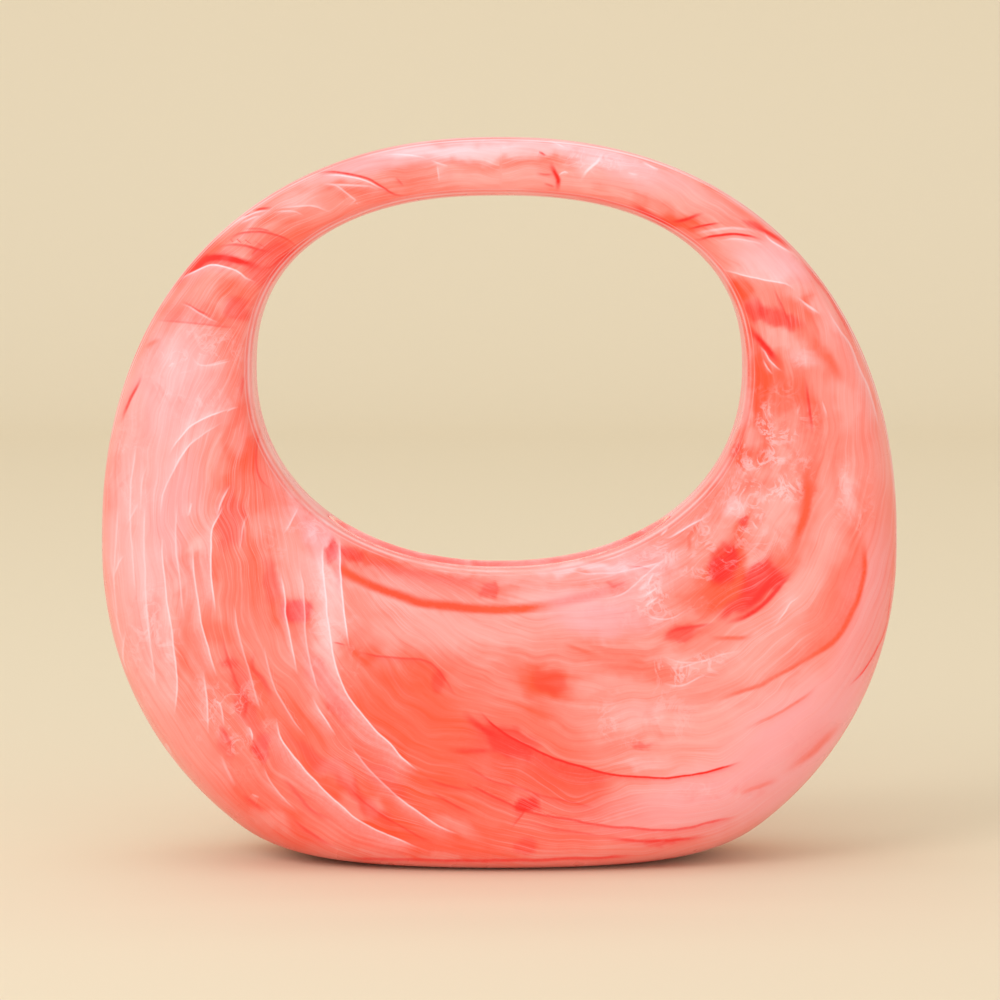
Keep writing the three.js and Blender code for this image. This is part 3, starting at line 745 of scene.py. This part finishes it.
def mouth_outline(outset):
    """The mouth's outline seen from above, grown by an outset: straight sides and round ends."""
    straight = (MOUTH_LENGTH - MOUTH_WIDTH) / 2
    radius = MOUTH_WIDTH / 2 + outset
    bend = np.linspace(-math.pi / 2, math.pi / 2, MOUTH_END_STEPS, endpoint=False)
    side = np.linspace(straight, -straight, MOUTH_SIDE_STEPS, endpoint=False)
    right = np.stack([straight + radius * np.cos(bend), radius * np.sin(bend)], axis=1)
    back = np.stack([side, np.full_like(side, radius)], axis=1)
    half = np.vstack([right, back])
    return np.vstack([half, -half])


def mouth_ring(outset, height):
    """A ring of points round the mouth, at a height over the hole's floor."""
    outline = mouth_outline(outset)
    return np.column_stack([outline, floor_height(outline[:, 0]) + height])


def mouth_form():
    """What the mouth takes out of the shells: a plug that flares to a round lip at the hole's floor."""
    bend = np.linspace(0, math.pi / 2, LIP_STEPS)
    rings = [mouth_ring(MOUTH_LIP * (1 - math.cos(b)), MOUTH_LIP * (math.sin(b) - 1)) for b in bend]
    floor = HOLE_LEVEL - HOLE_DROP
    low, high = mouth_ring(0, 0), mouth_ring(MOUTH_LIP, 0)
    low[:, 2] = floor / 2
    high[:, 2] = HOLE_LEVEL
    rings = [low] + rings + [high]
    count = len(low)
    faces = closed_grid_faces(len(rings), count, wrap_rows=False)[:, ::-1].tolist()
    faces.append(list(range(count))[::-1])
    faces.append([(len(rings) - 1) * count + k for k in range(count)])
    return new_object("mouth_form", np.vstack(rings), faces)


def face_outwards(piece):
    """Turns all faces of a closed mesh outwards."""
    work = bmesh.new()
    work.from_mesh(piece.data)
    bmesh.ops.recalc_face_normals(work, faces=work.faces[:])
    if work.calc_volume(signed=True) < 0:
        bmesh.ops.reverse_faces(work, faces=work.faces[:])
    work.to_mesh(piece.data)
    work.free()


def cut(piece, *forms):
    """Takes the forms out of a piece and keeps the result as its mesh."""
    for form in forms:
        boolean = piece.modifiers.new("cut", "BOOLEAN")
        boolean.operation = "DIFFERENCE"
        boolean.solver = "MANIFOLD"
        boolean.object = form
    bpy.context.view_layer.update()
    evaluated = piece.evaluated_get(bpy.context.evaluated_depsgraph_get())
    mesh = bpy.data.meshes.new_from_object(evaluated)
    piece.modifiers.clear()
    piece.data = mesh


def corners_of(mesh):
    corners = np.zeros(len(mesh.vertices) * 3, np.float32)
    mesh.vertices.foreach_get("co", corners)
    return corners.reshape(-1, 3).astype(float)


def fit_into(piece, box):
    """Draws a piece in by the little that its round surface stands outside the faceted solid's box."""
    points = corners_of(piece.data)
    low, high = np.array(box[0]), np.array(box[1])
    own_low, own_high = points.min(0), points.max(0)
    share = np.minimum((high - low) / (own_high - own_low), 1)
    points = (points - own_low) * share + low + ((high - low) - share * (own_high - own_low)) / 2
    piece.data.vertices.foreach_set("co", points.astype(np.float32).ravel())
    piece.data.update()


def shade(piece):
    piece.data.shade_smooth()
    piece.data.set_sharp_from_angle(angle=SHARP_ANGLE)


def view_axes():
    """The camera's place in millimetres, and the directions right, up and back of its view."""
    back = np.array([0, -math.cos(CAMERA_RISE), math.sin(CAMERA_RISE)])
    up = np.array([0, math.sin(CAMERA_RISE), math.cos(CAMERA_RISE)])
    eye = np.array([0, 0, AIM_HEIGHT]) + CAMERA_DISTANCE * back
    return eye, np.array([1.0, 0, 0]), up, back


def frame_spots(points):
    """Where points in millimetres lie in the photograph's frame."""
    eye, right, up, back = view_axes()
    offset = points - eye
    depth = -offset @ back
    across = MIDDLE_ACROSS + FOCAL_PIXELS * (offset @ right) / depth
    down = MIDDLE_DOWN - FOCAL_PIXELS * (offset @ up) / depth
    return np.stack([across, down], axis=1)


def store(mesh, name, values):
    """Keeps a number or a vector for each corner of a mesh."""
    kind = "FLOAT" if values.ndim == 1 else "FLOAT_VECTOR"
    attribute = mesh.attributes.new(name, kind, "POINT")
    attribute.data.foreach_set("value" if kind == "FLOAT" else "vector", values.astype(np.float32).ravel())


def edge_gap(points):
    """Distance in the front view from the nearer of the hole and the outer outline."""
    angle = np.arctan2(points[:, 2] - HOLE_LEVEL, points[:, 0])
    radius = np.hypot(points[:, 0], points[:, 2] - HOLE_LEVEL)
    gap = np.minimum(radius - hole_radius(angle), OUTER_LINES_CLOSER * (outline_radius(angle) - radius))
    gap += RIM_LEAN * np.abs(points[:, 1]) * np.clip(-np.sin(angle), 0, 1)
    return gap + RIM_LINE_WANDER * noise(points[:, ::2], **RIM_LINE_WAVES)


def drift(points):
    """Places along and across the marbling's flow, which winds outwards as it runs round under the hole."""
    across_bag, up = points[:, 0], points[:, 2] - HOLE_LEVEL
    angle = np.arctan2(up, across_bag)
    near, far, depth = hole_radius(angle), outline_radius(angle), half_depth(angle)
    share = (np.hypot(across_bag, up) - near) / (far - near) - 0.5
    forward = np.clip(np.abs(points[:, 1]) / depth, 0, 1)
    side = np.clip(share / TURNING_SHARE, -1, 1)
    across_flow = share * (far - near) + side * (1 - forward) * depth
    around = (angle - math.pi / 2) % (2 * math.pi)
    winding = FLOW_WINDING * smoothstep(WINDING_START, WINDING_STOP, around)
    across_flow += FLOW_WANDER * noise(points[:, ::2], **FLOW_WAVES) - winding
    along_flow = FLOW_LENGTH * np.stack([np.cos(angle), np.sin(angle)], axis=1)
    return np.column_stack([along_flow, across_flow / FLOW_WIDTH])


def marble(piece, side):
    """Stores the marbling's fields on a shell. The back shell has them turned half round the upright axis."""
    mesh = piece.data
    turned = np.array([side, side, 1])
    points = corners_of(mesh) / MM * turned
    normals = np.zeros(len(mesh.vertices) * 3, np.float32)
    mesh.vertex_normals.foreach_get("vector", normals)
    sight = view_axes()[0] - points
    sight /= np.linalg.norm(sight, axis=1)[:, None]
    facing = np.sum(normals.reshape(-1, 3) * turned * sight, axis=1)
    store(mesh, "charted", smoothstep(CHART_FIRST, CHART_FULL, facing))
    store(mesh, "drift", drift(points))
    store(mesh, "edge", edge_gap(points))
    # rim: where the painted pink edge glow lies, near the parting line
    store(mesh, "rim", smoothstep(EDGE_GLOW_DEPTH, 0, np.abs(points[:, 1])))
    for name, values in fields(frame_spots(points)).items():
        store(mesh, name, values)


def shell(name, side, node):
    """One cast half of the bag."""
    grid = half_ring()
    rows, columns = grid.shape[:2]
    points = grid.reshape(-1, 3) * (side, side, 1)
    piece = new_object(name, points, closed_grid_faces(rows, columns))
    hollow, mouth = hollow_form(), mouth_form()
    for form in (piece, hollow, mouth):
        face_outwards(form)
    cut(piece, hollow, mouth)
    for form in (hollow, mouth):
        bpy.data.objects.remove(form)
    fit_into(piece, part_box(node))
    shade(piece)
    marble(piece, side)
    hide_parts(node)
    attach(piece, "root")
    return piece


def rounded_loop(corners):
    """A closed outline with its corners rounded: each corner is a place and a radius."""
    places = np.array([corner[:2] for corner in corners], float)
    loop = []
    for k, (across, up, radius) in enumerate(corners):
        here = places[k]
        before = places[k - 1] - here
        after = places[(k + 1) % len(places)] - here
        start = here + before / np.linalg.norm(before) * radius
        stop = here + after / np.linalg.norm(after) * radius
        for t in np.linspace(0, 1, CORNER_STEPS):
            loop.append((1 - t) ** 2 * start + 2 * t * (1 - t) * here + t ** 2 * stop)
    return np.array(loop)


def collar(name, node):
    """The frame that lines the mouth, with a bead along its lower edge."""
    outer = -COLLAR_GAP
    inner = outer - COLLAR_WALL
    proud = outer + BEAD_PROUD
    bead_top = BEAD_HEIGHT - COLLAR_HEIGHT
    profile = rounded_loop([
        (inner, -COLLAR_HEIGHT, COLLAR_EDGE),
        (proud, -COLLAR_HEIGHT, BEAD_EDGE),
        (proud, bead_top, BEAD_EDGE),
        (outer, bead_top, BEAD_EDGE / 2),
        (outer, 0, COLLAR_EDGE),
        (inner, 0, COLLAR_EDGE),
    ])
    rings = [mouth_ring(outset, height) for outset, height in profile]
    piece = new_object(name, np.vstack(rings), closed_grid_faces(len(rings), len(rings[0])))
    face_outwards(piece)
    fit_into(piece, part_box(node))
    shade(piece)
    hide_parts(node)
    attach(piece, "root")
    return piece


class Nodes:
    """Short calls for building a material's nodes."""

    def __init__(self, name):
        self.material = bpy.data.materials.new(name)
        self.material.use_nodes = True
        self.tree = self.material.node_tree
        self.shader = self.tree.nodes["Principled BSDF"]

    def set(self, socket, value):
        if isinstance(value, bpy.types.NodeSocket):
            self.tree.links.new(value, socket)
        else:
            socket.default_value = value

    def fill(self, node, values):
        for key, value in values.items():
            self.set(node.inputs[key.replace("_", " ")], value)

    def add(self, kind, settings=None, **inputs):
        node = self.tree.nodes.new(kind)
        for key, value in (settings or {}).items():
            setattr(node, key, value)
        self.fill(node, inputs)
        return node

    def surface(self, **inputs):
        self.fill(self.shader, inputs)

    def math(self, operation, *values, clamp=False):
        node = self.add("ShaderNodeMath", {"operation": operation, "use_clamp": clamp})
        for socket, value in zip(node.inputs, values):
            self.set(socket, value)
        return node.outputs[0]

    def product(self, *values):
        result = values[0]
        for value in values[1:]:
            result = self.math("MULTIPLY", result, value)
        return result

    def bell(self, distance, steepness=1.0):
        """1 at a distance of nothing, falling off smoothly to both sides."""
        return self.math("EXPONENT", self.product(distance, distance, -steepness))

    def mix(self, below, above, amount):
        node = self.add("ShaderNodeMix", {"data_type": "RGBA"}, Factor=amount)
        self.set(node.inputs[6], below)
        self.set(node.inputs[7], above)
        return node.outputs[2]

    def tint(self, colour, tone, *amounts):
        """The colour mixed with a tone, by the product of the amounts."""
        return self.mix(colour, TONES[tone], self.product(*amounts))

    def object_place(self):
        return self.add("ShaderNodeTexCoord").outputs["Object"]

    def attribute(self, name, output="Fac"):
        return self.add("ShaderNodeAttribute", {"attribute_name": name}).outputs[output]

    def noise(self, place, scale, detail=4, roughness=0.55, distortion=0.0):
        return self.add("ShaderNodeTexNoise", Vector=place, Scale=scale, Detail=detail,
                        Roughness=roughness, Distortion=distortion).outputs["Fac"]

    def vector(self, operation, place, by):
        node = self.add("ShaderNodeVectorMath", {"operation": operation})
        self.set(node.inputs[0], place)
        node.inputs[1].default_value = by
        return node.outputs["Vector"]

    def shift(self, place, by):
        return self.vector("ADD", place, (by, by, by))

    def ramp(self, value, low, high, to_low=0.0, to_high=1.0):
        return self.add("ShaderNodeMapRange", {"interpolation_type": "SMOOTHSTEP"}, Value=value, From_Min=low,
                        From_Max=high, To_Min=to_low, To_Max=to_high).outputs["Result"]

    def ridges(self, place, scale, detail, distortion=0.3):
        """Soft thin ridges, where a noise crosses its middle, broken up by a second noise."""
        away = self.math("SUBTRACT", self.noise(place, scale, detail, 0.6, distortion), 0.5)
        ridge = self.ramp(self.math("ABSOLUTE", away), 0.07, 0.0)
        breaks = self.noise(self.shift(place, 11.7), 0.8 * scale, 3, 0.5)
        return self.product(ridge, self.ramp(breaks, 0.42, 0.62))


def linear(red, green, blue):
    """A colour of the scene from one of the screen's, 0 to 255."""
    shares = [value / 255 for value in (red, green, blue)]
    return (*[s / 12.92 if s <= 0.04045 else ((s + 0.055) / 1.055) ** 2.4 for s in shares], 1)


ACRYLIC_IOR = 1.49
TONES = {
    "base": linear(255, 142, 131),
    "orange": linear(255, 90, 60),
    "red": linear(255, 50, 44),
    "pink": linear(255, 173, 179),
    "pale": linear(255, 178, 174),
    "white": linear(255, 226, 236),
}
COLLAR_TONE = linear(255, 140, 134)
PAPER_TONE = linear(231, 219, 194)
# Clouds in the order they are mixed in. Their last four columns are for the steep edges, which the chart
# leaves out: the noise there, where it sets in and where it is full, and its strength
CLOUD_LAYERS = (
    ("orange", "wash", 0.5, 0.3, 1.0),
    ("pale", "wash", 0.48, 0.68, 1.0),
    ("pink", "wash", 0.48, 0.68, 0.0),
    ("red", "wisps", 0.42, 0.3, 0.4),
    ("white", "wisps", 0.6, 0.75, 0.6),
)
STREAK_CONTRAST = 1.25
# painted pink edge glow beside the outlines, standing in for light through the acrylic's edges
EDGE_GLOW_BAND = (3.0, 0.5, 0.0, 0.7)  # beside the outlines: start and full place in millimetres, and strengths
EDGE_GLOW_VEIL = (0.2, 0.6, 0.5, 0.9)  # streaks and strengths of the painted pink edge glow along the parting line
VEIL_SHARES = {"orange": 0.7, "red": 0.7, "white": 0.45}
CORE_SHARE = 0.5
STRETCH = (0.7, 0.7, 4.0)  # of the hairs along the flow
HAIR_STRENGTH = 0.2
THREAD_STRENGTH = 0.12
SMOKE_STRENGTH = 0.42
SMOKE_GAP_STRENGTH = 0.4
UNCHARTED_SMOKE = 0.5
RIM_GRAIN = (14, 520, 14)  # a noise pressed flat, so that it makes lines along the parting line
# Those lines: tone, where the noise begins and is full, and strength. The white ones are painted highlights
# along the seam.
PARTING_LINES = (("red", 0.46, 0.3, 0.5), ("white", 0.54, 0.66, 0.8))


def base_colour(nodes, streaks, edge):
    """Paler and more orange streaks along the flow, and a painted pink glow beside the outlines, standing in
    for light through the edges.
    """
    colour = nodes.tint(TONES["base"], "pale", nodes.ramp(streaks, 0.5, 0.72), 0.55)
    colour = nodes.tint(colour, "orange", nodes.ramp(streaks, 0.5, 0.28), 0.45)
    # painted pink glow along the outlines
    return nodes.tint(colour, "pink", nodes.ramp(edge, *EDGE_GLOW_BAND))


def add_clouds(nodes, colour, place, charted, uncharted, streak):
    """The charted clouds, and clouds from noise on the steep edges."""
    noises = {"wash": nodes.noise(place, 24, 5, 0.55, 2.0), "wisps": nodes.noise(place, 60, 6, 0.62, 1.5)}
    against = nodes.math("SUBTRACT", 2.0, streak)
    for kind, noise_name, begins, full, strength in CLOUD_LAYERS:
        streaked = against if kind in ("orange", "red") else streak
        drawn = nodes.product(nodes.attribute(kind), streaked, charted)
        grown = nodes.product(nodes.ramp(noises[noise_name], begins, full), uncharted, strength)
        colour = nodes.mix(colour, TONES[kind], nodes.math("ADD", drawn, grown, clamp=True))
    return colour


def add_hairs(nodes, colour, place, along):
    """Pale hairs and red threads along the flow, each in patches of its own."""
    stretched = nodes.vector("MULTIPLY", along, STRETCH)
    patches = nodes.ramp(nodes.noise(place, 22, 3, 0.5), 0.42, 0.62)
    colour = nodes.tint(colour, "white", nodes.ridges(stretched, 1.0, 5, 0.2), patches, HAIR_STRENGTH)
    threads = nodes.ridges(nodes.shift(stretched, 7.3), 0.8, 4)
    return nodes.tint(colour, "red", threads, nodes.math("SUBTRACT", 1.0, patches), THREAD_STRENGTH)


def add_smoke(nodes, colour, place, charted, uncharted):
    """Smoke-like wisps, white with orange between them."""
    where = nodes.math("MAXIMUM", nodes.product(nodes.attribute("wisp"), charted),
                       nodes.product(uncharted, UNCHARTED_SMOKE))
    gaps = nodes.ramp(nodes.noise(nodes.shift(place, 3.1), 70, 6, 0.6, 1.0), 0.52, 0.36)
    colour = nodes.tint(colour, "orange", gaps, where, SMOKE_GAP_STRENGTH)
    return nodes.tint(colour, "white", nodes.ridges(place, 150, 8, 1.4), where, SMOKE_STRENGTH)


def crisp_stroke(nodes, name, grain, veil_share):
    """Strength of a channel's strokes: sharp on one side, with a tail on the other."""
    parts = nodes.add("ShaderNodeSeparateXYZ", Vector=nodes.attribute(name, "Vector"))
    distance, strength, tail = parts.outputs
    core = nodes.bell(nodes.product(distance, distance), 0.5)
    short_side = nodes.bell(distance)
    long_side = nodes.product(nodes.math("EXPONENT", nodes.math("DIVIDE", distance, tail)),
                              nodes.math("LESS_THAN", distance, 0.0))
    veil = nodes.math("MINIMUM", nodes.math("MAXIMUM", short_side, long_side), 1.0)
    body = nodes.math("ADD", nodes.product(core, CORE_SHARE), nodes.product(veil, veil_share, grain))
    return nodes.math("MULTIPLY", body, strength, clamp=True)


def add_strokes(nodes, colour, place, charted, streak):
    speckle = nodes.math("ADD", 0.55, nodes.product(nodes.noise(place, 900, 5, 0.6), 0.9))
    grain = nodes.product(speckle, streak)
    for kind, veil_share in VEIL_SHARES.items():
        for channel in range(CHANNELS[kind]):
            line = crisp_stroke(nodes, f"{kind}_{channel}", grain, veil_share)
            colour = nodes.tint(colour, kind, line, charted)
    return colour


def add_rims(nodes, colour, place, streaks, edge):
    """The painted pink edge glow along the parting line, and the fine lines along the parting line and beside
    the outlines, whose white ones are painted highlights.
    """
    rim = nodes.attribute("rim")
    # painted pink edge glow along the parting line
    colour = nodes.tint(colour, "pink", rim, nodes.ramp(streaks, *EDGE_GLOW_VEIL))
    # the white lines are painted highlights of the rounded edges
    for number, (tone, middle, half, strength) in enumerate(RIM_LINES):
        line = nodes.bell(nodes.math("DIVIDE", nodes.math("SUBTRACT", edge, middle), half))
        kept = nodes.ramp(nodes.noise(nodes.shift(place, 1.7 * number), 26, 3), 0.36, 0.54, 0.0, strength)
        colour = nodes.tint(colour, tone, line, kept)
    lines = nodes.noise(nodes.vector("MULTIPLY", place, RIM_GRAIN), 1.0, 4, 0.6)
    near_rim = nodes.ramp(rim, 0.05, 0.6)
    # the white lines are painted highlights along the seam
    for tone, begins, full, strength in PARTING_LINES:
        colour = nodes.tint(colour, tone, nodes.ramp(lines, begins, full), near_rim, strength)
    return colour


def add_relief(nodes, place, scale, strength):
    """A barely wavy surface."""
    bump = nodes.add("ShaderNodeBump", Height=nodes.noise(place, scale, 3), Strength=strength, Distance=MM)
    nodes.surface(Normal=bump.outputs["Normal"])


def marbled_acrylic():
    """The shells' acrylic, marbled by the fields that marble() stores."""
    nodes = Nodes("marbled_acrylic")
    place, along = nodes.object_place(), nodes.attribute("drift", "Vector")
    edge, charted = nodes.attribute("edge"), nodes.attribute("charted")
    uncharted = nodes.math("SUBTRACT", 1.0, charted)
    streaks = nodes.noise(along, 1.0, 7, 0.62, 0.4)
    contrast = nodes.product(nodes.math("SUBTRACT", streaks, 0.5), STREAK_CONTRAST)
    streak = nodes.math("ADD", 1.0, contrast)
    colour = base_colour(nodes, streaks, edge)
    colour = add_clouds(nodes, colour, place, charted, uncharted, streak)
    colour = add_hairs(nodes, colour, place, along)
    colour = add_smoke(nodes, colour, place, charted, uncharted)
    colour = add_strokes(nodes, colour, place, charted, streak)
    colour = add_rims(nodes, colour, place, streaks, edge)
    gloss = nodes.ramp(nodes.noise(place, 35, 4), 0.3, 0.7, 0.24, 0.34)
    nodes.surface(Base_Color=colour, Roughness=gloss, IOR=ACRYLIC_IOR, Specular_IOR_Level=0.14,
                  Coat_Weight=0.04, Coat_Roughness=0.08)
    add_relief(nodes, place, 45, 0.06)
    return nodes.material


def collar_acrylic():
    """The collar's plainer acrylic. A little of its colour is given out as a painted glow, as if lit through
    the walls.
    """
    nodes = Nodes("collar_acrylic")
    place = nodes.object_place()
    wash = nodes.ramp(nodes.noise(place, 60, 5, 0.55, 1.0), 0.35, 0.65)
    colour = nodes.mix(COLLAR_TONE, TONES["pale"], wash)
    gloss = nodes.ramp(nodes.noise(place, 120, 4), 0.3, 0.7, 0.2, 0.32)
    # the emission is a painted glow, standing in for light through the walls
    nodes.surface(Base_Color=colour, Roughness=gloss, IOR=ACRYLIC_IOR, Coat_Weight=0.35, Coat_Roughness=0.08,
                  Emission_Color=colour, Emission_Strength=0.14, Subsurface_Weight=0.3,
                  Subsurface_Radius=(1.0, 0.4, 0.3), Subsurface_Scale=0.002)
    add_relief(nodes, place, 90, 0.05)
    return nodes.material


# The backdrop in millimetres: a floor, a bend and a wall
BACKDROP = {"half_width": 5000, "front": -5000, "bend_start": 1500, "bend": 500, "height": 3000}
BEND_STEPS = 24
# Soft lights in metres and watts: name, place, size, power, and what it points at
LIGHTS = (
    ("key", (-1.0, -1.2, 1.1), (0.8, 0.8), 10, (0, 0, 0.1)),
    ("fill", (0.8, -1.6, 0.25), (1.6, 0.8), 5, (0, 0, 0.1)),
    ("top", (-0.3, -0.1, 1.4), (1.2, 1.0), 2, (0, 0, 0.1)),
    ("wall", (0, 0.9, 1.9), (2.4, 0.5), 5, (0, 2.0, 0.3)),
)
ROOM_LIGHT = (1.0, 0.97, 0.93, 1)
ROOM_STRENGTH = 0.8


def backdrop():
    """A pale floor that sweeps up into the background."""
    half_width, front, start, bend, height = BACKDROP.values()
    turn = np.linspace(0, math.pi / 2, BEND_STEPS)
    profile = [(front, 0)]
    profile += [(start + bend * math.sin(t), bend * (1 - math.cos(t))) for t in turn]
    profile += [(start + bend, height)]
    points = [(side * half_width, y, z) for y, z in profile for side in (-1, 1)]
    faces = [(2 * k, 2 * k + 1, 2 * k + 3, 2 * k + 2) for k in range(len(profile) - 1)]
    piece = new_object("backdrop", points, faces)
    piece.data.shade_smooth()
    nodes = Nodes("backdrop_paper")
    nodes.surface(Base_Color=PAPER_TONE, Roughness=0.9, Specular_IOR_Level=0.1)
    piece.data.materials.append(nodes.material)


def lights():
    for name, place, size, power, target in LIGHTS:
        light = bpy.data.lights.new(name, "AREA")
        light.shape = "RECTANGLE"
        light.size, light.size_y = size
        light.energy = power
        lamp = bpy.data.objects.new(name, light)
        lamp.location = place
        lamp.rotation_euler = (Vector(target) - Vector(place)).to_track_quat("-Z", "Y").to_euler()
        bpy.context.scene.collection.objects.link(lamp)
    world = bpy.data.worlds.new("studio")
    bpy.context.scene.world = world
    world.use_nodes = True
    world.node_tree.nodes["Background"].inputs["Color"].default_value = ROOM_LIGHT
    world.node_tree.nodes["Background"].inputs["Strength"].default_value = ROOM_STRENGTH


def camera():
    eye, _, _, back = view_axes()
    data = bpy.data.cameras.new("camera")
    data.sensor_width = SENSOR
    data.lens = SENSOR * FOCAL_PIXELS / FRAME_PIXELS
    data.shift_x = (FRAME_PIXELS / 2 - MIDDLE_ACROSS) / FRAME_PIXELS
    data.shift_y = (MIDDLE_DOWN - FRAME_PIXELS / 2) / FRAME_PIXELS
    data.clip_end = FAR_CLIP
    body = bpy.data.objects.new("camera", data)
    body.location = Vector(eye * MM)
    body.rotation_euler = Vector(back).to_track_quat("Z", "Y").to_euler()
    bpy.context.scene.collection.objects.link(body)
    bpy.context.scene.camera = body


camera()
lights()
backdrop()
shells = [shell("front_shell_fine", 1, "front_shell"), shell("back_shell_fine", -1, "back_shell")]
acrylic = marbled_acrylic()
for piece in shells:
    piece.data.materials.clear()
    piece.data.materials.append(acrylic)
collar("mouth_collar_fine", "mouth_collar").data.materials.append(collar_acrylic())
bpy.context.scene.view_settings.view_transform = "Standard"
